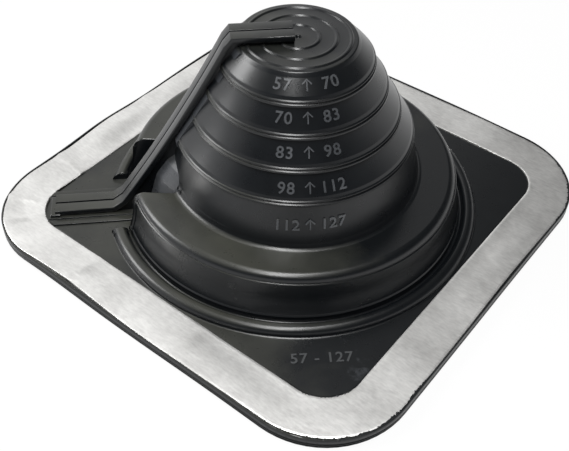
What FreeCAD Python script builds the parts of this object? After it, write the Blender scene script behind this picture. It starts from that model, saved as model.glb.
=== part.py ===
import FreeCAD, Part
import math
import os

# Pipe flashing boot: a rubber boot with a stepped cone on a square flange, and a soft
# aluminium ring bonded on the flange. The pipe axis is Z, the flange rests on z = 0.
# All sizes are in millimetres.

# Flange
ring_side = 203.2
ring_corner = 37.5
ring_width = 18.8
ring_inner_corner = 16.8
ring_thickness = 0.9
ring_top = 4.3
rim_margin = 0.75
flange_top = 3.9
lip_height = 1.2
lip_width = 1.7
lip_insets = [8.0, 18.0]
rim_lip_width = 2.6

# Stepped cone: the cut ridges, from the closed cap down, as (radius, height)
cap_ridge = (24.4, 87.5)
cut_ridges = [(31.0, 77.5), (37.0, 66.5), (43.3, 55.2), (49.9, 44.2)]
cone_foot = (54.2, 24.4)
cap_top = 87.5
cap_ring_radii = [8.2, 15.1, 20.9]
cap_edge_radius = 1.4
ridge_flare = (-1.1, 2.3)
ridge_lip = (-0.1, 1.1)
ridge_groove = (-0.45, 0.6)
ridge_bead = (0.15, -0.1)
ridge_foot = (-0.3, -0.8)
cap_ring_height = 0.5
cap_ring_half_width = 0.9
pip_radius = 1.2
pip_height = 0.7
wall = 2.6

# Drum under the cone
shelf_rise = 1.8
shoulder_radius = 3.0
drum_top_radius = 71.0
drum_foot_radius = 74.4
drum_foot_height = 7.1
drum_hollow = 0.6
fillet_width = 2.4
fillet_height = 3.0
recess_fillet = 2.2
overlap = 4.0
floor_sink = 1.0
base_cut = -1.0
bead_inner_radius = 76.4
bead_outer_radius = 82.3
bead_height = 3.4

# Seam rib, along the flange corner at -X -Y, up the cone and over the cap
rib_outer_end = 105.3
rib_flange_top = 7.6
rib_toe = 78.1
rib_cap_corner = 27.6
rib_cap_top = 91.4
rib_cap_end = 2.0
rib_bow = 1.7
rib_bow_steps = 4
rib_head_width = 11.0
rib_head_height = 2.4
rib_web_width = 8.2
rib_web_sink = 1.2
web_cap_radius = 20.0
web_corner = (46.0, 44.0)
web_foot_radius = 50.0
slit_width = 0.8
slit_depth = 1.4
recess_half_width = 17.0
recess_foot_radius = 58.4
foot_pad_half_width = 10.6
foot_pad_height = 0.8
foot_pad_end = 107.2
foot_pad_line = 7.3
foot_pad_line_width = 0.5
cone_pad_half_width = 8.2
cone_pad_height = 0.9
seam_angle = 225.0

origin = FreeCAD.Vector(0, 0, 0)
up = FreeCAD.Vector(0, 0, 1)


def section(points):
    """A closed face in the XZ plane from its corner points (x, z)."""
    corners = [FreeCAD.Vector(x, 0, z) for x, z in points]
    return Part.Face(Part.makePolygon(corners + [corners[0]]))


def bend(radius, height, reach, first, last, steps):
    """Points along a round stretch of a half section, about (radius, height). Angles are in degrees from
    the top of the circle, turning outwards."""
    points = []
    for step in range(steps + 1):
        angle = math.radians(first + (last - first) * step / steps)
        points.append((radius + reach * math.sin(angle), height + reach * math.cos(angle)))
    return points


def turned(points):
    """A solid turned about the Z axis from its half section."""
    return section(points).revolve(origin, up, 360)


def slab(points, width):
    """A section in the XZ plane, pulled to a width centred on Y = 0."""
    face = section(points)
    face.translate(FreeCAD.Vector(0, -width / 2, 0))
    return face.extrude(FreeCAD.Vector(0, width, 0))


def rounded_square(side, corner, low, high):
    """A plate with round corners, centred on the axis."""
    half = side / 2
    flat = half - corner
    diagonal = flat + corner * math.sqrt(0.5)
    edges = []
    for quarter in range(4):
        turn = FreeCAD.Rotation(up, 90 * quarter)
        start = turn.multVec(FreeCAD.Vector(half, -flat, low))
        bend = turn.multVec(FreeCAD.Vector(half, flat, low))
        middle = turn.multVec(FreeCAD.Vector(diagonal, diagonal, low))
        end = turn.multVec(FreeCAD.Vector(flat, half, low))
        edges.append(Part.LineSegment(start, bend).toShape())
        edges.append(Part.Arc(bend, middle, end).toShape())
    plate = Part.Face(Part.Wire(edges))
    return plate.extrude(FreeCAD.Vector(0, 0, high - low))


def square_loop(side, corner, width, low, high):
    """A square loop with round corners and an even width."""
    outer = rounded_square(side, corner, low, high)
    inner = rounded_square(side - 2 * width, max(corner - width, 1.0), low - 1, high + 1)
    return outer.cut(inner)


def to_seam(shape):
    """Turns a shape built with the seam along +X to the flange corner that carries it."""
    placed = shape.copy()
    placed.rotate(origin, up, seam_angle)
    return placed


def aluminium_ring():
    outer = rounded_square(ring_side, ring_corner, ring_top - ring_thickness, ring_top)
    inner = rounded_square(ring_side - 2 * ring_width, ring_inner_corner, 0, ring_top + 1)
    return outer.cut(inner)


def flange():
    """The rubber flange: a plate let in for the ring, with sealing lips below."""
    side = ring_side + 2 * rim_margin
    corner = ring_corner + rim_margin
    plate = rounded_square(side, corner, lip_height, ring_top - ring_thickness)
    middle = rounded_square(ring_side - 2 * ring_width, ring_inner_corner, lip_height, flange_top)
    lips = [square_loop(side, corner, rim_lip_width, 0, lip_height)]
    for inset in lip_insets:
        lips.append(square_loop(side - 2 * inset, corner - inset, lip_width, 0, lip_height))
    return plate.fuse([middle] + lips)


def ridge(radius, height):
    """A cut ridge between two bands: a flared edge, a fine groove to cut along, and a bead."""
    return [(radius + out, height + rise)
            for out, rise in (ridge_flare, ridge_lip, ridge_groove, ridge_bead, ridge_foot)]


def cap_rings():
    """The closed top of the cone: a centre pip and three fine rings round it."""
    points = [(0, cap_top + pip_height), (pip_radius, cap_top)]
    for radius in cap_ring_radii:
        points.append((radius - cap_ring_half_width, cap_top))
        points.append((radius, cap_top + cap_ring_height))
        points.append((radius + cap_ring_half_width, cap_top))
    return points


def cone():
    """The stepped cone, solid, from its cap to the base."""
    radius, height = cap_ridge
    points = cap_rings()
    points += bend(radius - 1.0, height - cap_edge_radius, cap_edge_radius, 0, 75, 2)
    for step in cut_ridges:
        points += ridge(*step)
    foot_radius, foot_height = cone_foot
    points.append((foot_radius - 0.4, foot_height + fillet_height))
    points.append((recess_foot_radius - 0.7, flange_top + recess_fillet))
    points.append((recess_foot_radius + recess_fillet, flange_top))
    points.append((recess_foot_radius + recess_fillet, flange_top - floor_sink))
    points.append((0, flange_top - floor_sink))
    return turned(points)


def drum():
    """The drum: a shelf that rises outwards, a round shoulder, a hollow flared side and the bead
    round its foot. The seam recess is cut through it."""
    foot_radius, foot_height = cone_foot
    shoulder_edge = drum_top_radius - shoulder_radius
    shelf_edge = foot_height + shelf_rise
    side_middle = (drum_top_radius + drum_foot_radius) / 2 - drum_hollow
    bead_radius = (bead_outer_radius - bead_inner_radius) / 2
    points = [
        (foot_radius - overlap, flange_top - floor_sink),
        (foot_radius - overlap, foot_height + 2 * fillet_height),
        (foot_radius - 0.9, foot_height + fillet_height),
        (foot_radius + fillet_width, foot_height + 0.1),
    ]
    points += bend(shoulder_edge, shelf_edge - shoulder_radius, shoulder_radius, 0, 90, 3)
    points += [
        (side_middle, (shelf_edge + drum_foot_height) / 2),
        (drum_foot_radius, drum_foot_height),
        (drum_foot_radius + 0.2, flange_top),
        (bead_inner_radius, flange_top),
    ]
    points += bend(bead_inner_radius + bead_radius, flange_top + bead_height - bead_radius, bead_radius,
                   -90, 90, 3)
    points.append((bead_outer_radius, flange_top - floor_sink))
    body = turned(points)
    reach = bead_outer_radius + 1
    recess = Part.makeBox(reach, 2 * recess_half_width, cap_top, FreeCAD.Vector(0, -recess_half_width, flange_top))
    return body.cut(to_seam(recess))


def rib_path(depth):
    """The seam rib's line in the seam plane, at a depth under its top: out along the flange, up the bowed
    slope and in over the cap."""
    run = rib_toe - rib_cap_corner
    rise = rib_cap_top - rib_flange_top
    slope = math.hypot(run, rise)
    turn = math.tan(math.atan2(rise, run) / 2)
    toe_radius = rib_toe - depth * turn
    points = [(rib_outer_end, rib_flange_top - depth)]
    for step in range(rib_bow_steps + 1):
        along = step / rib_bow_steps
        bow = 4 * rib_bow * along * (1 - along)
        radius = toe_radius - run * along - bow * rise / slope
        height = rib_flange_top - depth + rise * along - bow * run / slope
        points.append((radius, height))
    points.append((rib_cap_end, rib_cap_top - depth))
    return points


def rib_strip(top_depth, low_depth, width):
    """A strip of the seam rib between two depths, with square ends."""
    return slab(rib_path(top_depth) + rib_path(low_depth)[::-1], width)


def rib_web():
    """The web that carries the rib's head: it stands on the flange, the cone and the cap."""
    sunk_floor = flange_top - floor_sink
    sunk_cap = cap_top - floor_sink
    foot = [(web_foot_radius, sunk_floor), (rib_outer_end, sunk_floor)]
    inner = [(rib_cap_end, sunk_cap), (web_cap_radius, sunk_cap), web_corner] + foot
    return slab(rib_path(rib_web_sink) + inner, rib_web_width)


def cone_pad():
    """The thickened strip of the stepped wall on both sides of the rib."""
    top_radius, top_height = cap_ridge
    low_radius, low_height = cut_ridges[-1]
    lift = cone_pad_height
    points = [
        (top_radius - 6.0, top_height - 4.0),
        (top_radius - 0.2, top_height - 0.4),
        (top_radius + lift, top_height - 1.2),
        (low_radius + lift, low_height + 0.2),
        (low_radius + lift, low_height - 1.5),
        (low_radius - 1.2, low_height - 4.5),
    ]
    strip = Part.makeBox(low_radius + 4, 2 * cone_pad_half_width, cap_top,
                         FreeCAD.Vector(0, -cone_pad_half_width, 0))
    return turned(points).common(strip)


def foot_pad():
    """The low strip on the flange under the rib, with a fine line along each side of the rib."""
    length = foot_pad_end - recess_foot_radius
    corner = FreeCAD.Vector(recess_foot_radius, -foot_pad_half_width, lip_height)
    height = flange_top + foot_pad_height - lip_height
    pad = Part.makeBox(length, 2 * foot_pad_half_width, height, corner)
    for side in (-1, 1):
        low = FreeCAD.Vector(recess_foot_radius + 3, side * foot_pad_line - foot_pad_line_width / 2, flange_top + 0.3)
        pad = pad.cut(Part.makeBox(length, foot_pad_line_width, foot_pad_height, low))
    return pad


def seam():
    """The whole seam rib with its pads, trimmed to the opening of the aluminium ring."""
    head = rib_strip(0, rib_head_height, rib_head_width)
    body = rib_web().fuse([head, cone_pad(), foot_pad()])
    body = body.cut(rib_strip(-0.5, slit_depth, slit_width))
    inside = rounded_square(ring_side - 2 * ring_width - 0.6, ring_inner_corner - 0.3, 0, rib_cap_top + 1)
    return to_seam(body).common(inside)


def hollow():
    """The space inside the boot, open below: the cone for the pipe, and the drum round it but for the seam."""
    top_radius = cap_ridge[0]
    low_radius, low_height = cut_ridges[-1]
    foot_radius, foot_height = cone_foot
    under_cap = cap_top - wall
    bore = turned([
        (0, base_cut),
        (0, under_cap),
        (top_radius - wall, under_cap),
        (low_radius - wall - 0.4, low_height),
        (foot_radius - wall - 0.5, foot_height),
        (recess_foot_radius - wall, base_cut),
    ])
    inner_shelf = foot_height - wall
    chamber = turned([
        (foot_radius - wall - 1.5, base_cut),
        (foot_radius - wall - 1.5, inner_shelf),
        (drum_top_radius - wall - 1.0, inner_shelf),
        (drum_foot_radius - wall + 0.6, base_cut),
    ])
    keep = recess_half_width + wall
    corner = FreeCAD.Vector(foot_radius - wall - 1.5 * overlap, -keep, 2 * base_cut)
    block = Part.makeBox(bead_outer_radius, 2 * keep, cap_top, corner)
    return bore.fuse(chamber.cut(to_seam(block)))


def rubber_boot():
    body = flange().fuse([cone(), drum()]).fuse(seam())
    return body.cut(hollow()).removeSplitter()


os.makedirs("parts", exist_ok=True)
for name, make in (("rubber_boot", rubber_boot), ("aluminium_ring", aluminium_ring)):
    shape = make()
    print(name, "valid", shape.isValid(), "solids", len(shape.Solids), "volume", round(shape.Volume),
          "box", shape.BoundBox)
    shape.exportStep("parts/" + name + ".step")
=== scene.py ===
import math
import random

import bmesh
import bpy
from mathutils import Matrix, Vector, noise


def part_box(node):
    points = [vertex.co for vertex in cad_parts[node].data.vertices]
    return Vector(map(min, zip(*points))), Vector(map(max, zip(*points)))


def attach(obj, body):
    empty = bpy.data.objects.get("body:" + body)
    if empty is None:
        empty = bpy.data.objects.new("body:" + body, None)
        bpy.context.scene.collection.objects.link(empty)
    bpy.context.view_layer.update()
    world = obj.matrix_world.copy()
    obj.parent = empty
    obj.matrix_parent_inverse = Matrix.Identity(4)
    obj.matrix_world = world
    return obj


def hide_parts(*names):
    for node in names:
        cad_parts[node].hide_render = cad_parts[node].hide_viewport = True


# Pipe flashing boot: a stepped rubber cone on a square flange, with an aluminium ring.
# Sizes are in millimetres. The pipe axis is Z and the flange rests on z = 0.

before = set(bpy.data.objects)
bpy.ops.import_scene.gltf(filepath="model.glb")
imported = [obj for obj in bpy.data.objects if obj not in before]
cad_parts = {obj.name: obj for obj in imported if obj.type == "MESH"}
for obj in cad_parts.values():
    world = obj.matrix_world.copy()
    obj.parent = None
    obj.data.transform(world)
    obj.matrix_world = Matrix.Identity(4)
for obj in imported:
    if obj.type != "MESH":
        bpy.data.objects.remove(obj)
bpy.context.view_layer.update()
random.seed(7)

mm = 0.001
mergeDistance = 0.00001  # metres
seamAngle = math.radians(225)  # the flange corner that carries the seam rib
lowCorner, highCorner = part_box("aluminium_ring")
ringSide = round((highCorner.x - lowCorner.x) / mm, 2)

boot = {
    "flangeTop": 3.9,
    "ringTop": 4.3,
    "ringThickness": 0.9,
    "ringWidth": 18.8,
    "ringCorner": 37.5,
    "innerCorner": 16.8,
    "rimMargin": 0.75,
    "wall": 2.6,
    "recessHalf": 17.0,
    "recessFoot": 58.4,
    "footRadius": 54.2,
    "footHeight": 24.4,
    "sink": 1.0,  # how deep a fused piece reaches into the flange
}


# rounds the corners of a line; a point is (x, z) or (x, z, corner radius)
def softened(points, steps=4):
    line = []
    for i, point in enumerate(points):
        here = Vector(point[:2])
        radius = point[2] if len(point) > 2 else 0
        if radius == 0 or i in (0, len(points) - 1):
            line.append(here)
            continue
        before = Vector(points[i - 1][:2]) - here
        after = Vector(points[i + 1][:2]) - here
        half = before.angle(after) / 2
        reach = min(radius / math.tan(half), before.length * 0.49, after.length * 0.49)
        start = here + before.normalized() * reach
        end = here + after.normalized() * reach
        for step in range(steps + 1):
            t = step / steps
            line.append(start * (1 - t) ** 2 + here * 2 * t * (1 - t) + end * t * t)
    return [(p.x, p.y) for p in line]


def meshObject(name, verts, faces, scale=mm):
    mesh = bpy.data.meshes.new(name)
    mesh.from_pydata([[c * scale for c in v] for v in verts], [], faces)
    piece = bpy.data.objects.new(name, mesh)
    bpy.context.scene.collection.objects.link(piece)
    return piece


# closes seams, points the faces outwards and smooths all but the sharp edges
def finishMesh(piece, material, sharp=38):
    mesh = piece.data
    work = bmesh.new()
    work.from_mesh(mesh)
    bmesh.ops.remove_doubles(work, verts=work.verts, dist=mergeDistance)
    bmesh.ops.dissolve_degenerate(work, edges=work.edges, dist=mergeDistance * 0.5)
    bmesh.ops.recalc_face_normals(work, faces=work.faces)
    work.to_mesh(mesh)
    work.free()
    mesh.materials.clear()
    mesh.materials.append(material)
    mesh.shade_smooth()
    mesh.set_sharp_from_angle(angle=math.radians(sharp))
    return piece


# a skin through loops of equal length; an open one gets a face at each end
def lofted(name, loops, material, closed=False, sharp=38):
    rows, count = len(loops), len(loops[0])
    faces = []
    for row in range(rows if closed else rows - 1):
        here, there = row * count, (row + 1) % rows * count
        for i in range(count):
            after = (i + 1) % count
            faces.append((here + i, here + after, there + after, there + i))
    if not closed:
        faces.append(tuple(range(count)))
        faces.append(tuple((rows - 1) * count + i for i in range(count)))
    verts = [point for loop in loops for point in loop]
    return finishMesh(meshObject(name, verts, faces), material, sharp)


def turnToSeam(piece):
    piece.data.transform(Matrix.Rotation(seamAngle, 4, "Z"))
    return piece


# points round a square with round corners
def squareLoop(half, corner, height, sideSteps=40, cornerSteps=16):
    flat = half - corner
    side = [(half, -flat + 2 * flat * i / sideSteps) for i in range(sideSteps)]
    for i in range(cornerSteps):
        a = math.radians(90) * i / cornerSteps
        side.append((flat + corner * math.cos(a), flat + corner * math.sin(a)))
    loop = []
    for quarter in range(4):
        turn = math.radians(90 * quarter)
        c, s = math.cos(turn), math.sin(turn)
        loop += [(x * c - y * s, x * s + y * c, height) for x, y in side]
    return loop


# a circle with a point under each point of a square loop
def circleLike(loop, radius, height):
    return [(radius * x / math.hypot(x, y), radius * y / math.hypot(x, y), height)
            for x, y, _ in loop]


def newMaterial(name):
    material = bpy.data.materials.new(name)
    material.use_nodes = True
    tree = material.node_tree
    return material, tree, tree.nodes["Principled BSDF"]


# a socket takes the output of another node or a plain value
def feed(tree, socket, value):
    if isinstance(value, bpy.types.NodeSocket):
        tree.links.new(value, socket)
    else:
        socket.default_value = value


def addNode(tree, kind, **settings):
    node = tree.nodes.new(kind)
    for key, value in settings.items():
        if key in node.inputs:
            feed(tree, node.inputs[key], value)
        else:
            setattr(node, key, value)
    return node


def noisePattern(tree, place, pattern):
    scale, detail, roughness = pattern
    return addNode(tree, "ShaderNodeTexNoise", Vector=place, Scale=scale, Detail=detail,
                   Roughness=roughness).outputs["Fac"]


def mapRange(tree, source, before, after):
    limits = {"From Min": before[0], "From Max": before[1], "To Min": after[0], "To Max": after[1]}
    return addNode(tree, "ShaderNodeMapRange", Value=source, **limits).outputs["Result"]


def mixed(tree, kind, factor, first, second):
    return addNode(tree, "ShaderNodeMix", data_type=kind, Factor=factor, A=first,
                   B=second).outputs["Result"]


def calculated(tree, operation, first, second):
    node = addNode(tree, "ShaderNodeMath", operation=operation)
    feed(tree, node.inputs[0], first)
    feed(tree, node.inputs[1], second)
    return node.outputs[0]


def stretchedPlace(tree, place, stretch):
    return addNode(tree, "ShaderNodeMapping", Vector=place, Scale=stretch).outputs["Vector"]


def shareAlong(tree, place, direction):
    node = addNode(tree, "ShaderNodeVectorMath", operation="DOT_PRODUCT")
    feed(tree, node.inputs[0], place)
    feed(tree, node.inputs[1], direction)
    return node.outputs["Value"]


def heightOf(tree, vector):
    return addNode(tree, "ShaderNodeSeparateXYZ", Vector=vector).outputs["Z"]


def twoColours(tree, source, places, colours):
    ramp = addNode(tree, "ShaderNodeValToRGB", Fac=source)
    for element, place, colour in zip(ramp.color_ramp.elements, places, colours):
        element.position, element.color = place, (*colour, 1)
    return ramp.outputs["Color"]


rubberLook = {
    "side": (0.0035, 0.0045, 0.0058),
    "sideLight": (0.0065, 0.0078, 0.0095),
    "cloud": (38.0, 5.0, 0.6),  # every pattern is (scale, detail, roughness)
    "cloudStops": (0.35, 0.68),
    "top": (0.0035, 0.0045, 0.0055),
    "dustAndSheen": (0.052, 0.053, 0.043),
    "level": (0.62, 0.98),  # dust and painted sheen lie on faces that are this level
    "patches": (14.0, 6.0, 0.65),
    "patchStops": (0.40, 0.86),
    "dustAndLightAcross": (-34.0, 34.0),  # from the seam's side to the far side: more dust, and painted light on the side that faces the lamps
    "dustAndLightShift": (0.20, -0.22),
    "baseHeights": (0.0045, 0.008),
    "dustAndSheenOnBase": -0.09,
    "rub": (0.045, 0.049, 0.055),
    "marks": (1.0, 6.0, 0.75),
    "markStretch": (45.0, 45.0, 700.0),
    "markStops": (0.66, 0.74),
    "markShare": 0.6,
    "smears": (120.0, 4.0, 0.7),
    "roughness": (0.24, 0.33),
    "specular": 0.48,
    "grain": (900.0, 3.0, 0.5),
    "grainStrength": 0.5,
    "grainDepth": 0.000012,
}


def rubberMaterial(name, changes):
    look = {**rubberLook, **changes}
    material, tree, shader = newMaterial(name)
    place = addNode(tree, "ShaderNodeTexCoord").outputs["Object"]
    normal = addNode(tree, "ShaderNodeNewGeometry").outputs["Normal"]
    side = twoColours(tree, noisePattern(tree, place, look["cloud"]), look["cloudStops"],
                      (look["side"], look["sideLight"]))
    # more of the top colour towards the seam's side, which faces the lamps: partly dust, partly
    # painted light
    diagonal = math.sqrt(0.5) / mm
    across = mapRange(tree, shareAlong(tree, place, (diagonal, diagonal, 0)),
                      look["dustAndLightAcross"], look["dustAndLightShift"])
    # less of the dust and painted sheen on the flange, below the given heights
    raised = mapRange(tree, heightOf(tree, place), look["baseHeights"], (look["dustAndSheenOnBase"], 0.0))
    moreDustAndLight = calculated(tree, "ADD", across, raised)
    # upward faces take the lighter top colour in patches: partly dust, partly a painted sheen
    # standing in for the bright ceiling's reflection
    dustAndSheenMask = calculated(tree, "ADD", noisePattern(tree, place, look["patches"]), moreDustAndLight)
    top = twoColours(tree, dustAndSheenMask, look["patchStops"], (look["top"], look["dustAndSheen"]))
    upward = mapRange(tree, heightOf(tree, normal), look["level"], (0.0, 1.0))
    body = mixed(tree, "RGBA", upward, side, top)
    marks = noisePattern(tree, stretchedPlace(tree, place, look["markStretch"]), look["marks"])
    rubbed = mapRange(tree, marks, look["markStops"], (0.0, look["markShare"]))
    feed(tree, shader.inputs["Base Color"], mixed(tree, "RGBA", rubbed, body, (*look["rub"], 1)))
    smears = noisePattern(tree, place, look["smears"])
    feed(tree, shader.inputs["Roughness"], mapRange(tree, smears, (0.0, 1.0), look["roughness"]))
    shader.inputs["Specular IOR Level"].default_value = look["specular"]
    bump = addNode(tree, "ShaderNodeBump", Height=noisePattern(tree, place, look["grain"]),
                   Strength=look["grainStrength"], Distance=look["grainDepth"])
    feed(tree, shader.inputs["Normal"], bump.outputs["Normal"])
    return material


aluminiumLook = {
    "colour": (0.58, 0.575, 0.56),
    "streak": (0.87, 0.865, 0.845),
    "stops": (0.36, 0.62),
    "rolling": (1.0, 4.0, 0.6),
    "rollingStretch": (320.0, 1100.0, 60.0),
    "blotches": (34.0, 9.0, 0.66),
    "blotchShare": 0.72,
    "metallic": 0.78,
    "roughness": (0.27, 0.42),
    "bumpStrength": 0.18,
    "bumpDepth": 0.00004,
}


# mill finish sheet with faint rolling streaks
def aluminiumMaterial():
    look = aluminiumLook
    material, tree, shader = newMaterial("millAluminium")
    place = addNode(tree, "ShaderNodeTexCoord").outputs["Object"]
    streaks = noisePattern(tree, stretchedPlace(tree, place, look["rollingStretch"]),
                           look["rolling"])
    blotches = noisePattern(tree, place, look["blotches"])
    both = mixed(tree, "FLOAT", look["blotchShare"], streaks, blotches)
    feed(tree, shader.inputs["Base Color"],
         twoColours(tree, both, look["stops"], (look["colour"], look["streak"])))
    feed(tree, shader.inputs["Roughness"], mapRange(tree, streaks, (0.0, 1.0), look["roughness"]))
    shader.inputs["Metallic"].default_value = look["metallic"]
    bump = addNode(tree, "ShaderNodeBump", Height=streaks, Strength=look["bumpStrength"],
                   Distance=look["bumpDepth"])
    feed(tree, shader.inputs["Normal"], bump.outputs["Normal"])
    return material


rubber = rubberMaterial("mouldedRubber", {})
# lighter side colours for the recess pieces beside the rib, lifting them out of the rib's shadow:
# partly dust, partly painted light
dustAndLightRubber = rubberMaterial("dustAndLightRubber", {
    "side": (0.022, 0.024, 0.028),
    "sideLight": (0.060, 0.064, 0.070),
})
rubbedRubber = rubberMaterial("rubbedRubber", {
    "side": (0.045, 0.049, 0.054),
    "sideLight": (0.105, 0.110, 0.118),
    "top": (0.055, 0.058, 0.060),
    "dustAndSheen": (0.11, 0.112, 0.105),
})
rimRubber = rubberMaterial("rimRubber", {"specular": 0.12})
aluminium = aluminiumMaterial()
print("materials ready")


# a bare line of edges that the tree below turns into a curve
def lineObject(name, points, closed=False):
    count = len(points)
    edges = [(i, i + 1) for i in range(count - 1)] + ([(count - 1, 0)] if closed else [])
    mesh = bpy.data.meshes.new(name)
    mesh.from_pydata([Vector(p) * mm for p in points], edges, [])
    line = bpy.data.objects.new(name, mesh)
    bpy.context.scene.collection.objects.link(line)
    return line


# carries a closed section along a path, or round the axis where the piece is turned
def sweepTree():
    tree = bpy.data.node_groups.new("sectionSweep", "GeometryNodeTree")
    face = tree.interface
    face.new_socket("Geometry", in_out="OUTPUT", socket_type="NodeSocketGeometry")
    for label, kind, start in [
        ("Section", "Object", None), ("Path", "Object", None), ("Turned", "Bool", False),
        ("Turning Radius", "Float", 0.05), ("Turning Steps", "Int", 240),
        ("Close Ends", "Bool", False), ("Material", "Material", None),
    ]:
        socket = face.new_socket(label, in_out="INPUT", socket_type="NodeSocket" + kind)
        if start is not None:
            socket.default_value = start
    given = addNode(tree, "NodeGroupInput").outputs
    result = addNode(tree, "NodeGroupOutput")

    def lineCurve(label):
        line = addNode(tree, "GeometryNodeObjectInfo", Object=given[label])
        return addNode(tree, "GeometryNodeMeshToCurve", Mesh=line.outputs["Geometry"]).outputs[0]

    circle = addNode(tree, "GeometryNodeCurvePrimitiveCircle",
                     Resolution=given["Turning Steps"], Radius=given["Turning Radius"])
    paths = {"False": lineCurve("Path"), "True": circle.outputs["Curve"]}
    path = addNode(tree, "GeometryNodeSwitch", input_type="GEOMETRY", Switch=given["Turned"],
                   **paths)
    upright = addNode(tree, "GeometryNodeSetCurveNormal", mode="Z_UP",
                      Curve=path.outputs["Output"])
    section = {"Profile Curve": lineCurve("Section"), "Fill Caps": given["Close Ends"]}
    sweep = addNode(tree, "GeometryNodeCurveToMesh", Curve=upright.outputs["Curve"], **section)
    real = addNode(tree, "GeometryNodeRealizeInstances", Geometry=sweep.outputs["Mesh"])
    paint = addNode(tree, "GeometryNodeSetMaterial", Geometry=real.outputs["Geometry"],
                    Material=given["Material"])
    feed(tree, result.inputs["Geometry"], paint.outputs["Geometry"])
    return tree


sectionSweep = sweepTree()


# runs the tree on an empty carrier and keeps the result as a plain mesh
def baked(name, settings, material):
    carrier = meshObject(name, [], [])
    modifier = carrier.modifiers.new("build", "NODES")
    modifier.node_group = sectionSweep
    sockets = {item.name: item.identifier for item in sectionSweep.interface.items_tree
               if item.in_out == "INPUT"}
    for key, value in {**settings, "Material": material}.items():
        modifier[sockets[key]] = value
    carrier.update_tag()
    bpy.context.view_layer.update()
    result = carrier.evaluated_get(bpy.context.evaluated_depsgraph_get())
    mesh = bpy.data.meshes.new_from_object(result)
    carrier.modifiers.remove(modifier)
    carrier.data = mesh
    return finishMesh(carrier, material)


# turns a closed half section of (radius, height) about the pipe axis
def turnedPiece(name, section, material, steps):
    radius = 50.0
    line = lineObject(name + "Section", [(r - radius, -z, 0) for r, z in section], closed=True)
    piece = baked(name, {"Section": line, "Turned": True, "Turning Radius": radius * mm,
                         "Turning Steps": steps}, material)
    bpy.data.objects.remove(line)
    return piece


# carries a section of (across, depth) along an open path of points
def sweptPiece(name, section, path, material):
    sectionLine = lineObject(name + "Section", [(x, y, 0) for x, y in section], closed=True)
    pathLine = lineObject(name + "Path", path)
    piece = baked(name, {"Section": sectionLine, "Path": pathLine, "Close Ends": True}, material)
    bpy.data.objects.remove(sectionLine)
    bpy.data.objects.remove(pathLine)
    return piece


cone = {
    "capEdge": (24.4, 87.5),  # (radius, height)
    "capEdgeRounding": 0.9,
    "ridges": [(31.0, 77.5), (37.0, 66.5), (43.3, 55.2), (49.9, 44.2)],
    "ridge": [  # (out, up, rounding): a flared edge, a groove to cut along and a bead
        (-1.25, 3.3, 2.2), (-0.62, 2.15, 0.3), (-0.05, 1.8, 0.2), (0.0, 1.5, 0.15),
        (-0.5, 1.1, 0.15), (-0.45, 0.85, 0.15), (0.3, 0.45, 0.2), (0.4, -0.3, 0.3),
        (-0.4, -0.8, 0.2),
    ],
    "capRings": [8.2, 15.1, 20.9],
    "ringHalf": 0.9,
    "ringCrest": 0.35,  # share of the half width that is level
    "ringHeight": 0.55,
    "pipRadius": 1.3,
    "pipHeight": 0.8,
    "turningSteps": 288,
}


def coneSection():
    radius, height = cone["capEdge"]
    wall = boot["wall"]
    foot, footHeight = boot["footRadius"], boot["footHeight"]
    lowRadius, lowHeight = cone["ridges"][-1]
    pip, pipTop = cone["pipRadius"], height + cone["pipHeight"]
    points = [(0.0, pipTop), (pip * 0.6, pipTop, 0.4), (pip, height, 0.3)]
    half, crest = cone["ringHalf"], cone["ringHalf"] * cone["ringCrest"]
    for ring in cone["capRings"]:
        crestTop = height + cone["ringHeight"]
        points += [(ring - half, height, 0.2), (ring - crest, crestTop, 0.3),
                   (ring + crest, crestTop, 0.3), (ring + half, height, 0.2)]
    rounding = cone["capEdgeRounding"]
    points += [(radius - 0.9, height, rounding), (radius + 0.35, height - 1.6, rounding)]
    for ridgeRadius, ridgeHeight in cone["ridges"]:
        points += [(ridgeRadius + out, ridgeHeight + up, soft) for out, up, soft in cone["ridge"]]
    points += [
        (foot - 0.6, footHeight + 2.6, 1.5),
        (foot + 0.6, footHeight - 1.2),
        (foot - wall, footHeight - 1.2),
        (foot - wall - 0.5, footHeight),
        (lowRadius - wall - 0.4, lowHeight, 2.0),
        (radius - wall + 0.6, height - wall - 1.8, 1.0),
        (radius - wall - 1.2, height - wall, 1.0),
        (0.0, height - wall),
    ]
    return softened(points)


coneShell = turnedPiece("stepped_cone", coneSection(), rubber, cone["turningSteps"])
print("stepped cone ready")


drum = {
    "topRadius": 71.0,
    "footRadius": 74.4,
    "footHeight": 7.1,
    "shelfRise": 1.8,
    "shoulder": 3.6,
    "partingHeight": 22.6,
    "partingStep": 0.35,
    "sideHollow": 0.6,
    "sideBend": 30.0,
    "fillet": 2.75,
    "beadInner": 76.4,
    "beadOuter": 82.3,
    "beadHeight": 3.4,
    "beadRadii": (1.9, 3.1),
    "endRounding": 0.7,
    "endTurns": (0, 25, 50, 70, 90),
    "endInset": 0.35,
    "steps": 300,
    "tiltHeights": (9.0, 23.0),
    "tiltLow": -0.3,
    "tilt": 0.9,
}


# points round a circle; angles in degrees from its top, turning outwards
def arcPoints(radius, height, reach, first, last, steps=10):
    points = []
    for step in range(steps + 1):
        a = math.radians(first + (last - first) * step / steps)
        points.append((radius + reach * math.sin(a), height + reach * math.cos(a)))
    return points


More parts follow.
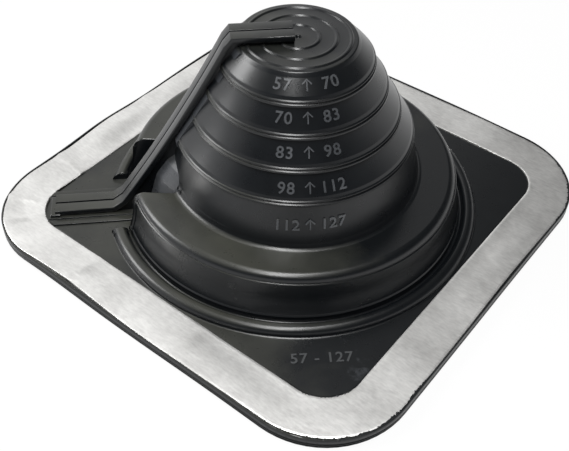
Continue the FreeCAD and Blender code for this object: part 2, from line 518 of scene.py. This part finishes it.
# the outer half section, from the foot of the cone to the flange
def drumOutside():
    foot, footHeight = boot["footRadius"], boot["footHeight"]
    top, shoulder = boot["flangeTop"], drum["shoulder"]
    topRadius, lowRadius, lowHeight = drum["topRadius"], drum["footRadius"], drum["footHeight"]
    parting, step = drum["partingHeight"], drum["partingStep"]
    edge = footHeight + drum["shelfRise"]
    middle = (topRadius + lowRadius) / 2 - drum["sideHollow"]
    beadOuter, beadTop = drum["beadOuter"], top + drum["beadHeight"]
    crest = (drum["beadInner"] + beadOuter) / 2
    tight, wide = drum["beadRadii"]
    return [
        (foot - 2.9, footHeight + 6.0),
        (foot - 0.9, footHeight + 3.6),
        *arcPoints(foot + 1.9, footHeight + 2.95, drum["fillet"], -105, -177),
        *arcPoints(topRadius - shoulder - 0.1, edge - shoulder, shoulder, 0, 88),
        (topRadius - 0.1, parting + step, 0.12),
        (topRadius + step, parting, 0.15),
        (middle, (parting + lowHeight) / 2, drum["sideBend"]),
        (lowRadius - 0.35, lowHeight + 0.7, 0.5),
        (lowRadius + 0.15, lowHeight + 0.05, 0.3),
        (lowRadius + 0.35, top + 0.7, 0.4),
        (lowRadius + 1.0, top + 0.3, 0.4),
        (drum["beadInner"] - 0.3, top + 0.5, 0.5),
        *arcPoints(crest - 1.0, beadTop - tight, tight, -70, 0, 8),
        *arcPoints(crest - 0.4, beadTop - wide, wide, 5, 84, 12),
        (beadOuter - 0.15, top + 0.15, 0.3),
        (beadOuter + 0.6, top - 0.05, 0.3),
        (beadOuter + 0.7, top - boot["sink"]),
    ]


# the inner half section, from the flange back up to the cone
def drumInside():
    wall = boot["wall"]
    inner = boot["footHeight"] - wall
    return [
        (drum["footRadius"] - wall, boot["flangeTop"] - boot["sink"]),
        (drum["footRadius"] - wall, drum["footHeight"], 1.0),
        (drum["topRadius"] - wall, inner + drum["shelfRise"] - 2.4, 1.5),
        (drum["topRadius"] - drum["shoulder"] - 0.6, inner + drum["shelfRise"], 1.5),
        (boot["footRadius"] - wall - 0.3, inner),
    ]


# the soft shelf stands a little higher towards the seam; the angle is from the seam
def drumPoint(r, z, angle):
    low, high = drum["tiltHeights"]
    share = max(0.0, min(1.0, (z - low) / (high - low)))
    lift = share * (drum["tiltLow"] + drum["tilt"] * math.cos(angle))
    return r * math.cos(angle), r * math.sin(angle), z + lift


# the line moved in towards its solid side
def insetLine(line, inset):
    moved = []
    for i, (x, z) in enumerate(line):
        before = Vector(line[max(i - 1, 0)])
        after = Vector(line[min(i + 1, len(line) - 1)])
        along = (after - before).normalized()
        moved.append((x - along.y * inset, z - along.x * inset))
    return moved


def drumShell(outside):
    section = outside + softened(drumInside(), 3)
    recess = boot["recessHalf"] + drum["endRounding"]
    columns = []
    for step in range(drum["steps"] + 1):
        column = []
        for r, z in section:
            gap = math.asin(recess / r)
            angle = gap + (2 * math.pi - 2 * gap) * step / drum["steps"]
            column.append(drumPoint(r, z, angle))
        columns.append(column)
    return turnToSeam(lofted("drum_shell", columns, rubber))


# the recess wall rounds over into the shell and then runs on inside it
def recessWall(name, side, outside):
    half, rounding, hidden = boot["recessHalf"], drum["endRounding"], drum["endInset"]
    base = boot["flangeTop"] - boot["sink"]
    stations = []
    for turn in drum["endTurns"]:
        a = math.radians(turn)
        stations.append((half + rounding * (1 - math.cos(a)), rounding * (1 - math.sin(a))))
    stations += [(half + rounding + 0.1, hidden), (half + boot["wall"], hidden)]
    loops = []
    for across, inset in stations:
        loop = [drumPoint(r, z, math.asin(side * across / r))
                for r, z in insetLine(outside, inset)]
        loop.append((outside[-1][0] - 1.5, side * across, base))
        loop.append((outside[0][0], side * across, base))
        loops.append(loop)
    return turnToSeam(lofted(name, loops, rubber))


drumOutline = softened(drumOutside(), 5)
drumParts = [
    drumShell(drumOutline),
    recessWall("recess_wall_left", -1, drumOutline),
    recessWall("recess_wall_right", 1, drumOutline),
]
print("drum ready")


flange = {
    "lipInsets": [8.0, 18.0],
    "lipWidth": 1.7,
    "lipHeight": 1.2,
    "lipTaper": 0.3,
    "rimLip": 2.6,
    "rimTop": 3.3,
    "grooveHeights": [1.0, 2.1],
    "grooveWidth": 0.3,
    "grooveDepth": 0.45,
    "hole": 71.8,
    "holeSteps": (0.35, 0.7, 1.0),
}

skirt = {
    "floorEnd": flange["hole"] + 1.6,
    "beyondRecess": 1.4,
    "flare": [(3.9, 9.5), (16.0, 9.0), (24.4, 7.4), (32.4, 5.0), (40.5, 0.6)],  # (height, out)
    "flareFade": 0.8,
    "steps": 32,
}


# the strip of cone wall and floor that fills the recess
def recessSkirt():
    foot, footHeight = boot["footRadius"], boot["footHeight"]
    low, top, wall = boot["recessFoot"], boot["flangeTop"], boot["wall"]
    outline = softened([
        (foot - 9.5, footHeight + 16.0),
        (foot - 3.4, footHeight + 8.0, 3.0),
        (foot - 0.4, footHeight + 1.0, 6.0),
        (low - 1.2, top + 4.0, 3.0),
        (low + 0.4, top + 1.0, 2.5),
        (low + 3.5, top + 0.1, 1.0),
        (skirt["floorEnd"], top + 0.04),
        (skirt["floorEnd"], top - boot["sink"]),
        (low - wall, top - boot["sink"]),
        (foot - wall - 0.5, footHeight),
        (foot - wall - 2.6, footHeight + 8.0),
        (foot - wall - 10.0, footHeight + 15.0),
    ])
    reach = boot["recessHalf"] + skirt["beyondRecess"]
    outerCount = max(index for index, point in enumerate(outline) if point[0] > flange["hole"])

    # the wall runs out towards the rib like a gusset
    def flare(r, z, share):
        nearest = foot - 11 + (footHeight - z) * 0.14
        if z < top + 0.02 or not nearest <= r <= low + 3.6:
            return 0.0
        spread = 0.0
        for (lower, small), (upper, large) in zip(skirt["flare"], skirt["flare"][1:]):
            if lower <= z <= upper:
                spread = small + (large - small) * (z - lower) / (upper - lower)
        return spread * (1 - abs(share)) ** skirt["flareFade"]

    columns = []
    for step in range(skirt["steps"] + 1):
        share = 2 * step / skirt["steps"] - 1
        column = []
        for index, (r, z) in enumerate(outline):
            angle = math.asin(reach / r) * share
            out = flare(r, z, share) if index < outerCount else 0.0
            column.append((r * math.cos(angle) + out, r * math.sin(angle), z))
        columns.append(column)
    return turnToSeam(lofted("recess_skirt", columns, dustAndLightRubber))


skirtPart = recessSkirt()
print("recess ready")


lifts = [  # (x, y, reach, rise): low swells in the soft rubber and sheet
    (-52, -101, 26, 1.5), (40, -101, 30, 0.7), (-101, -20, 20, 1.6), (-101, 40, 30, 0.8),
    (101, 20, 34, 0.6), (30, 101, 40, 0.7), (-84, -92, 14, 1.1),
]
liftStart, liftRun = 84, 12  # the flange only lifts past this, and never under the drum


def edgeLift(x, y):
    inside = max(0.0, min(1.0, (max(abs(x), abs(y)) - liftStart) / liftRun))
    rise = sum(high * math.exp(-((x - a) ** 2 + (y - b) ** 2) / reach ** 2)
               for a, b, reach, high in lifts)
    return rise * inside * inside * (3 - 2 * inside)


# moves a finished flange piece with the swells
def lifted(piece):
    for vertex in piece.data.vertices:
        x, y, _ = vertex.co / mm
        vertex.co.z += edgeLift(x, y) * mm
    return piece


# loops from the hole, under the lips, round the rim and back over the top
def flangeLoops():
    half = ringSide / 2 + boot["rimMargin"]
    corner = boot["ringCorner"] + boot["rimMargin"]
    top, bed = boot["flangeTop"], boot["ringTop"] - boot["ringThickness"]
    lip, taper, width = flange["lipHeight"], flange["lipTaper"], flange["lipWidth"]
    stations = []
    for inset in reversed(flange["lipInsets"]):
        stations += [(inset + width, lip), (inset + width - taper, 0.0), (inset + taper, 0.0),
                     (inset, lip)]
    stations += [(flange["rimLip"], lip), (flange["rimLip"] - taper, 0.0), (0.35, 0.0),
                 (0.0, 0.3)]
    groove, depth = flange["grooveWidth"], flange["grooveDepth"]
    for height in flange["grooveHeights"]:
        stations += [(0.0, height - groove), (depth, height), (depth, height + 0.1),
                     (0.0, height + groove)]
    stations += [(0.0, bed - 0.1), (0.1, bed), (boot["ringWidth"] + boot["rimMargin"] - 0.5, bed)]
    loops = [squareLoop(half - inset, corner - inset, height) for inset, height in stations]
    inner = ringSide / 2 - boot["ringWidth"]
    for inset, height in ((0.0, bed + 0.05), (0.15, top - 0.15), (0.4, top)):
        loops.append(squareLoop(inner - inset, boot["innerCorner"] - inset, height))
    last = loops[-1]
    ring = circleLike(last, flange["hole"], top)
    for share in flange["holeSteps"]:
        loops.append([tuple(a[i] * (1 - share) + b[i] * share for i in range(3))
                      for a, b in zip(last, ring)])
    loops.append(circleLike(last, flange["hole"], lip))
    return loops


# the cut rim and the underside are duller than the moulded top
def dullRim(piece):
    piece.data.materials.append(rimRubber)
    for face in piece.data.polygons:
        if face.center.z < flange["rimTop"] * mm:
            face.material_index = 1
    return piece


flangePlate = lofted("flange_plate", flangeLoops(), rubber, closed=True, sharp=30)
lifted(dullRim(flangePlate))
print("flange ready")


rib = {
    "outerEnd": 105.3,
    "flangeTop": 7.6,
    "toe": 78.1,
    "toeBend": 2.0,
    "capCorner": 27.6,
    "capTop": 91.4,
    "capEnd": 2.0,
    "bow": 1.7,
    "bowSteps": 24,
    "headWidth": 11.0,
    "headHeight": 2.4,
    "webWidth": 8.2,
    "webSink": 1.2,
    "webCap": 20.0,
    "webBack": (46.0, 44.0),
    "webFoot": 50.0,
    "slitWidth": 0.8,
    "slitDepth": 1.4,
    "rounding": 0.45,
}


# the rib's top line in the seam plane, from its flange end over the slope to the cap
def ribLine():
    run = rib["toe"] - rib["capCorner"]
    rise = rib["capTop"] - rib["flangeTop"]
    slope = math.hypot(run, rise)
    points = [(rib["outerEnd"], rib["flangeTop"]), (rib["toe"] + rib["toeBend"], rib["flangeTop"])]
    for step in range(1, rib["bowSteps"]):
        along = step / rib["bowSteps"]
        bow = 4 * rib["bow"] * along * (1 - along)
        points.append((rib["toe"] - run * along - bow * rise / slope,
                       rib["flangeTop"] + rise * along - bow * run / slope))
    points += [(rib["capCorner"] - 1.0, rib["capTop"]), (rib["capEnd"], rib["capTop"])]
    return points


# the head's section with the slit in its top, as (across, depth under the top)
def ribHeadSection():
    half, depth, slitDepth = rib["headWidth"] / 2, rib["headHeight"], rib["slitDepth"]
    slit = rib["slitWidth"] / 2
    edge = rib["rounding"]
    return softened([
        (0.0, slitDepth),
        (slit * 0.7, slitDepth, 0.1),
        (slit, 0.0, 0.2),
        (half, 0.0, edge),
        (half, depth, edge * 0.6),
        (0.0, depth),
        (-half, depth, edge * 0.6),
        (-half, 0.0, edge),
        (-slit, 0.0, 0.2),
        (-slit * 0.7, slitDepth, 0.1),
        (-0.001, slitDepth),
    ], 3)


def ribHead(line):
    path = [(s, 0, z) for s, z in line]
    return turnToSeam(sweptPiece("seam_rib_head", ribHeadSection(), path, rubber))


def ribWeb(line):
    sunk = boot["flangeTop"] - 0.8
    capSunk = cone["capEdge"][1] - 1.0
    outline = [(s, z - rib["webSink"]) for s, z in line]
    outline += [(rib["capEnd"], capSunk), (rib["webCap"], capSunk), rib["webBack"],
                (rib["webFoot"], sunk), (rib["outerEnd"], sunk)]
    half = rib["webWidth"] / 2
    sides = [[(s, across, z) for s, z in outline] for across in (-half, half)]
    return turnToSeam(lofted("seam_rib_web", sides, rubber))


ribParts = [ribHead(ribLine()), ribWeb(ribLine())]
print("seam rib ready")


pads = {
    "footHalf": 10.6,
    "footHeight": 0.8,
    "footLine": 7.3,  # a fine line each side of the rib
    "footLineHalf": (0.4, 0.2),
    "footLineDepth": 0.5,
    "coneHalf": 8.2,
    "coneHeight": 0.9,
    "coneSteps": 12,
    "endBeyondRib": 0.6,
    "endHeight": 2.2,
    "endRun": (-2.0, 2.6),  # before and past the rib's outer end
    "endRounding": [(0.0, 0.5), (0.4, 0.12), (0.9, 0.0)],  # (in from the side, shrink)
}


# the low strip on the flange under the rib
def footPad():
    top = boot["flangeTop"] + pads["footHeight"]
    low = flange["lipHeight"]
    half, line = pads["footHalf"], pads["footLine"]
    wide, narrow = pads["footLineHalf"]
    sunk = top - pads["footLineDepth"]

    def fineLine(middle):
        return [(middle - wide, top, 0.1), (middle - narrow, sunk, 0.05),
                (middle + narrow, sunk, 0.05), (middle + wide, top, 0.1)]

    section = softened([(-half, low), (-half, top, 0.3), *fineLine(-line), *fineLine(line),
                        (half, top, 0.3), (half, low)], 3)
    inner = ringSide / 2 - boot["ringWidth"] - 0.35
    corner = boot["innerCorner"] - 0.3
    flat = (inner - corner) * math.sqrt(2)
    start = [(boot["recessFoot"] - 1.0, across, z) for across, z in section]
    end = [(flat + math.sqrt(max(corner ** 2 - across ** 2, 0)), across, z)
           for across, z in section]
    return turnToSeam(lofted("foot_pad", [start, end], rubber))


# the thick strip of the stepped wall on both sides of the rib
def conePad():
    out, half = pads["coneHeight"], pads["coneHalf"]
    topRadius, topHeight = cone["capEdge"]
    lowRadius, lowHeight = cone["ridges"][-1]
    line = softened([
        (topRadius - 6.0, topHeight - 4.0),
        (topRadius - 0.2, topHeight - 0.4, 0.5),
        (topRadius + out, topHeight - 1.2, 1.0),
        (lowRadius + out, lowHeight + 0.2, 1.0),
        (lowRadius + out, lowHeight - 1.5, 0.8),
        (lowRadius - 1.2, lowHeight - 4.5),
    ], 4)
    columns = []
    for step in range(pads["coneSteps"] + 1):
        across = half * (2 * step / pads["coneSteps"] - 1)
        columns.append([(math.sqrt(r * r - across ** 2), across, z) for r, z in line])
    return turnToSeam(lofted("cone_pad", columns, dustAndLightRubber))


# the low block that closes the rib's outer end
def ribEnd():
    half = rib["headWidth"] / 2 + pads["endBeyondRib"]
    low, top = flange["lipHeight"], boot["flangeTop"] + pads["endHeight"]
    start, end = (rib["outerEnd"] + run for run in pads["endRun"])
    section = softened([(start, low), (start, top), (end - 0.4, top, 0.8),
                        (end, low + 1.0, 0.5), (end, low)])
    sides = [(-half + inward, shrink) for inward, shrink in pads["endRounding"]]
    sides += [(half - inward, shrink) for inward, shrink in reversed(pads["endRounding"])]
    loops = [[(min(s, end - shrink), across, z - (shrink if z > top - 1 else 0))
              for s, z in section] for across, shrink in sides]
    return turnToSeam(lofted("rib_end_block", loops, rubber))


padParts = [footPad(), conePad(), ribEnd()]
print("pads ready")


sheet = {
    "edge": 0.22,
    "wave": 0.30,
    "waveLength": 30.0,
    "steps": 16,
    "sideSteps": 90,
    "cornerSteps": 30,
    "creases": [  # (x, y, direction in degrees, half width, depth)
        (-92.0, -80.0, 205, 1.7, 1.1), (-84.0, -92.0, 238, 1.6, 1.0),
        (-92.0, -50.0, 172, 2.4, 0.9), (-40.0, -93.0, 262, 5.0, 0.7),
        (-93.0, 10.0, 185, 5.0, 0.6), (20.0, -92.0, 280, 6.0, 0.5),
    ],
    "creaseLength": 14.0,
    "creaseBack": 0.6,  # the far flank of a crease is lower
    "bites": [  # (x, y, reach, depth): where the rubber laps over the sheet's edge
        (-38, -101.6, 26, 1.3), (62, -101.6, 22, 0.5), (-101.6, -38, 20, 0.7),
        (-101.6, 46, 26, 0.6), (101.6, 20, 30, 0.5), (84, -96, 14, 0.5),
    ],
    "lipWidth": 0.68,
    "lipHeight": 0.25,
    "lipRounding": (0.15, 0.2),
}


# a hand-bent waviness of the soft sheet
def sheetWave(x, y):
    long = sheet["waveLength"]
    height = sheet["wave"] * noise.noise(Vector((x / long, y / long, 3.1)))
    for a, b, direction, half, depth in sheet["creases"]:
        turn = math.radians(direction)
        along = (x - a) * math.cos(turn) + (y - b) * math.sin(turn)
        across = (y - b) * math.cos(turn) - (x - a) * math.sin(turn)
        reach = math.exp(-(along / sheet["creaseLength"]) ** 2)
        flank = 1 if across > 0 else sheet["creaseBack"]
        height += depth * reach * math.exp(-(across / half) ** 2) * flank
    return height


def sheetLoop(half, corner, height):
    return squareLoop(half, corner, height, sheet["sideSteps"], sheet["cornerSteps"])


def aluminiumRing():
    outerHalf, outerCorner = ringSide / 2, boot["ringCorner"]
    innerHalf, innerCorner = outerHalf - boot["ringWidth"], boot["innerCorner"]
    top, low = boot["ringTop"], boot["ringTop"] - boot["ringThickness"]
    edge = sheet["edge"]
    slope = edge * 0.3

    def loopAt(share, height, inset=0.0):
        half = outerHalf + (innerHalf - outerHalf) * share
        corner = outerCorner + (innerCorner - outerCorner) * share
        points = []
        for x, y, _ in sheetLoop(half - inset, corner - inset, 0):
            bite = sum(deep * math.exp(-((x - a) ** 2 + (y - b) ** 2) / far ** 2)
                       for a, b, far, deep in sheet["bites"])
            pull = 1 - (1 - share) ** 3 * bite / half
            points.append((x * pull, y * pull, height + sheetWave(x, y)))
        return points

    loops = [loopAt(0, low), loopAt(0, top - edge), loopAt(0, top - slope, slope),
             loopAt(0, top, edge)]
    loops += [loopAt(step / sheet["steps"], top) for step in range(1, sheet["steps"])]
    loops += [loopAt(1, top, -edge), loopAt(1, top - slope, -slope), loopAt(1, top - edge),
              loopAt(1, low)]
    return lofted("aluminium_sheet", loops, aluminium, closed=True, sharp=50)


# a thin rubber lip that stands round the outer edge of the sheet
def sheetLip():
    half, corner = ringSide / 2 + 0.05, boot["ringCorner"]
    width, top = sheet["lipWidth"], boot["ringTop"] + sheet["lipHeight"]
    low = boot["ringTop"] - boot["ringThickness"] - 0.4
    across, down = sheet["lipRounding"]
    stations = [(width, low), (width, top - down), (width - across, top), (across, top),
                (0.0, top - down), (0.0, low)]
    loops = [sheetLoop(half + out, corner + out, height) for out, height in stations]
    return lofted("outer_lip", loops, rubber, closed=True)


ringSheet = lifted(aluminiumRing())
outerLip = lifted(sheetLip())
print("aluminium ring ready")


numbers = {  # raised pipe sizes in millimetres
    "bands": [("57", "70"), ("70", "83"), ("83", "98"), ("98", "112"), ("112", "127")],
    "arrow": "\u2191",
    "gap": 9.2,
    "bold": 0.09,
    "spacing": 1.12,
    "base": "57 - 127",
    "size": 6.4,
    "raise": 0.4,
    "facing": -45.5,
    "shifts": [(0.0, 0.0), (0.0, 0.0), (-0.4, 0.0), (-1.2, 0.0), (-1.3, 0.35)],  # (up, out)
    "basePlace": (64.9, -65.6),
    "baseTurn": 42,
    "baseSink": 0.7,
}


def letterMesh(words, bold):
    curve = bpy.data.curves.new("letters", "FONT")
    curve.body = words
    curve.size = numbers["size"] * mm
    curve.align_x = curve.align_y = "CENTER"
    curve.resolution_u = 4
    curve.space_character = numbers["spacing"]
    curve.offset = bold * mm
    curve.extrude = numbers["raise"] * mm
    holder = bpy.data.objects.new("letters", curve)
    bpy.context.scene.collection.objects.link(holder)
    bpy.context.view_layer.update()
    shaped = holder.evaluated_get(bpy.context.evaluated_depsgraph_get())
    mesh = bpy.data.meshes.new_from_object(shaped)
    bpy.data.objects.remove(holder)
    return mesh


# letters of (text, shift, bold), set on a surface by a function of (x, y, height)
def raisedText(name, words, place):
    shape = bmesh.new()
    for text, shift, bold in words:
        first = len(shape.verts)
        shape.from_mesh(letterMesh(text, bold))
        shape.verts.ensure_lookup_table()
        for vertex in shape.verts[first:]:
            x, y, height = vertex.co / mm
            vertex.co = Vector(place(x + shift, y, height)) * mm
    piece = meshObject(name, [], [])
    shape.to_mesh(piece.data)
    shape.free()
    return finishMesh(piece, rubbedRubber, 30)


# the band between two edges of (radius, height), as a surface for letters
def bandSurface(upper, lower, along, away):
    high = Vector((upper[0] - 0.4, upper[1] - 0.8))
    low = Vector((lower[0] - 1.2, lower[1] + 3.2))
    rise = (high - low).normalized()
    out = Vector((rise.y, -rise.x))
    middle = (high + low) / 2 + rise * along + out * away

    def onBand(x, y, height):
        at = middle + rise * y + out * height
        angle = math.radians(numbers["facing"]) + x / middle.x
        return at.x * math.cos(angle), at.x * math.sin(angle), at.y

    return onBand


def bandNumbers():
    edges = [cone["capEdge"], *cone["ridges"], (boot["footRadius"] - 0.3, boot["footHeight"] + 2.0)]
    gap, bold = numbers["gap"], numbers["bold"]
    pieces = []
    for band, (first, second) in enumerate(numbers["bands"]):
        surface = bandSurface(edges[band], edges[band + 1], *numbers["shifts"][band])
        letters = [(first, -gap, bold), (numbers["arrow"], 0.0, 0.0), (second, gap, bold)]
        pieces.append(raisedText("band_numbers_" + str(band + 1), letters, surface))
    return pieces


def baseNumbers():
    angle = math.radians(numbers["baseTurn"])
    c, s = math.cos(angle), math.sin(angle)
    x0, y0 = numbers["basePlace"]

    def onBase(x, y, height):
        return (x0 + x * c - y * s, y0 + x * s + y * c,
                boot["flangeTop"] + height * numbers["baseSink"])

    return raisedText("base_numbers", [(numbers["base"], 0.0, numbers["bold"])], onBase)


numberParts = bandNumbers() + [baseNumbers()]
print("numbers ready")


flash = {  # thin ragged rubber over the sheet's edges
    "runs": [  # (name, outer edge or inner, first and last angle round the axis, longest tongue)
        ("front", True, -63, -23, 1.1), ("right", True, 28, 50, 0.7),
        ("back", True, 118, 150, 0.9), ("inner_front", False, -55, -36, 0.6),
        ("left_corner", False, 214, 231, 0.5),
    ],
    "thickness": 0.22,
    "overEdge": 0.45,
    "shortest": 0.04,
    "fadeSteps": 8,
    "tornLength": 1.1,
    "tornShares": (1.5, 0.35),  # of the slow and the quick raggedness
    "sideSteps": 150,
    "cornerSteps": 90,
}


def mouldFlash(name, outer, first, last, longest):
    half = ringSide / 2 - (0 if outer else boot["ringWidth"])
    corner = boot["ringCorner"] if outer else boot["innerCorner"]
    into = 1 if outer else -1
    stations = []
    for x, y, _ in squareLoop(half, corner, 0, flash["sideSteps"], flash["cornerSteps"]):
        angle = math.degrees(math.atan2(y, x))
        if first <= angle <= last or first <= angle + 360 <= last:
            stations.append((angle, x, y))
    stations.sort(key=lambda item: (item[0] - first) % 360)
    torn, (slow, quick) = flash["tornLength"], flash["tornShares"]
    loops = []
    for index, (angle, x, y) in enumerate(stations):
        away = Vector((x, y)).normalized()
        fade = min(1.0, index / flash["fadeSteps"],
                   (len(stations) - 1 - index) / flash["fadeSteps"])
        ragged = abs(noise.noise(Vector((x / torn, y / torn, 5.0)))) * slow
        ragged += quick * random.random()
        reach = max(flash["shortest"], longest * ragged * fade)
        top = boot["ringTop"] + flash["thickness"] * fade + 0.02
        low = boot["ringTop"] - 0.3
        near = Vector((x, y)) + away * flash["overEdge"] * into
        far = Vector((x, y)) - away * reach * into
        middle = near.lerp(far, 0.7)
        loops.append([(*near, low), (*near, top - 0.1), (*middle, top), (*far, top - 0.14),
                      (*far, low)])
    return lifted(lofted("mould_flash_" + name, loops, rubber))


flashParts = [mouldFlash(*run) for run in flash["runs"]]
print("flash ready")


rubberParts = [coneShell, *drumParts, skirtPart, flangePlate, *ribParts, *padParts, outerLip,
               *numberParts, *flashParts]
for part in rubberParts:
    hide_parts("rubber_boot")
    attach(part, "root")
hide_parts("aluminium_ring")
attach(ringSheet, "root")


studio = {
    "floorSize": 3.0,
    "floorColour": (0.9, 0.9, 0.9, 1),
    "floorRoughness": 0.9,
    "floorGlow": 0.9,
    "worldLight": 0.10,
    "brightSide": 180,
    "sideSpread": (0.22, 0.52),
    "ceilingDark": 0.06,
    "ceilingBright": 1.0,
    "horizonRise": (0.10, 0.35),
    "lampDistance": 1.1,
    "lampAim": 0.03,
}

lamps = {  # name: (azimuth, elevation, width, height, power)
    "topLamp": (-62, 78, 0.15, 0.9, 12.0),
    "leftLamp": (-150, 31, 0.35, 0.55, 6.5),
}


# 1 for camera, glossy and transmission rays, 0 for the rest
def whiteForCamera(tree):
    rays = addNode(tree, "ShaderNodeLightPath").outputs
    seen = calculated(tree, "MAXIMUM", rays["Is Camera Ray"], rays["Is Glossy Ray"])
    return calculated(tree, "MAXIMUM", seen, rays["Is Transmission Ray"])


def studioFloor():
    half = studio["floorSize"] / 2
    corners = [(-half, -half, 0), (half, -half, 0), (half, half, 0), (-half, half, 0)]
    floor = meshObject("floor", corners, [(0, 1, 2, 3)], 1)
    material, tree, shader = newMaterial("paleFloor")
    shader.inputs["Base Color"].default_value = studio["floorColour"]
    shader.inputs["Roughness"].default_value = studio["floorRoughness"]
    glow = addNode(tree, "ShaderNodeEmission")
    share = calculated(tree, "MULTIPLY", whiteForCamera(tree), studio["floorGlow"])
    mix = addNode(tree, "ShaderNodeMixShader", Fac=share)
    feed(tree, mix.inputs[1], shader.outputs["BSDF"])
    feed(tree, mix.inputs[2], glow.outputs["Emission"])
    feed(tree, tree.nodes["Material Output"].inputs["Surface"], mix.outputs["Shader"])
    floor.data.materials.append(material)


# white round the horizon, and for gloss a dimmer ceiling that is brighter on the left
def studioWorld():
    world = bpy.data.worlds.new("paleStudio")
    bpy.context.scene.world = world
    world.use_nodes = True
    tree = world.node_tree
    background = tree.nodes["Background"]
    background.inputs["Color"].default_value = (1, 1, 1, 1)
    way = addNode(tree, "ShaderNodeTexCoord").outputs["Generated"]
    around = math.radians(studio["brightSide"])
    side = shareAlong(tree, way, (math.cos(around), math.sin(around), 0))
    ceiling = mapRange(tree, side, studio["sideSpread"],
                       (studio["ceilingDark"], studio["ceilingBright"]))
    rise = mapRange(tree, heightOf(tree, way), studio["horizonRise"], (0.0, 1.0))
    glossy = mixed(tree, "FLOAT", rise, 1.0, ceiling)
    camera = addNode(tree, "ShaderNodeLightPath").outputs["Is Camera Ray"]
    seen = mixed(tree, "FLOAT", camera, glossy, 1.0)
    level = mixed(tree, "FLOAT", whiteForCamera(tree), studio["worldLight"], seen)
    feed(tree, background.inputs["Strength"], level)


def softLamp(name, azimuth, elevation, width, height, power):
    around, over = math.radians(azimuth), math.radians(elevation)
    way = Vector((math.cos(around) * math.cos(over), math.sin(around) * math.cos(over),
                  math.sin(over)))
    lamp = bpy.data.lights.new(name, "AREA")
    lamp.shape = "RECTANGLE"
    lamp.size, lamp.size_y = width, height
    lamp.energy = power
    holder = bpy.data.objects.new(name, lamp)
    bpy.context.scene.collection.objects.link(holder)
    turn = (-way).to_track_quat("-Z", "Y").to_matrix().to_4x4()
    place = way * studio["lampDistance"] + Vector((0, 0, studio["lampAim"]))
    holder.matrix_world = Matrix.Translation(place) @ turn


view = {
    "lens": 56.29,
    "azimuth": 36.966,
    "elevation": 45.55,
    "roll": 1.658,
    "distance": 0.40729,
    "aside": 0.003595,
    "above": 0.012053,
}


def studioCamera():
    azimuth, elevation, roll = (math.radians(view[key]) for key in ("azimuth", "elevation", "roll"))
    back = Vector((math.sin(azimuth) * math.cos(elevation),
                   -math.cos(azimuth) * math.cos(elevation), math.sin(elevation)))
    right = Vector((math.cos(azimuth), math.sin(azimuth), 0))
    up = back.cross(right)
    across = right * math.cos(roll) + up * math.sin(roll)
    along = up * math.cos(roll) - right * math.sin(roll)
    camera = bpy.data.cameras.new("camera")
    camera.lens = view["lens"]
    camera.clip_start = 0.01
    holder = bpy.data.objects.new("camera", camera)
    bpy.context.scene.collection.objects.link(holder)
    place = back * view["distance"] - across * view["aside"] - along * view["above"]
    turn = Matrix((across, along, back)).transposed().to_4x4()
    holder.matrix_world = Matrix.Translation(place) @ turn
    bpy.context.scene.camera = holder


studioFloor()
studioWorld()
for lampName, lampSettings in lamps.items():
    softLamp(lampName, *lampSettings)
studioCamera()
bpy.context.scene.view_settings.view_transform = "Standard"
print("studio ready")
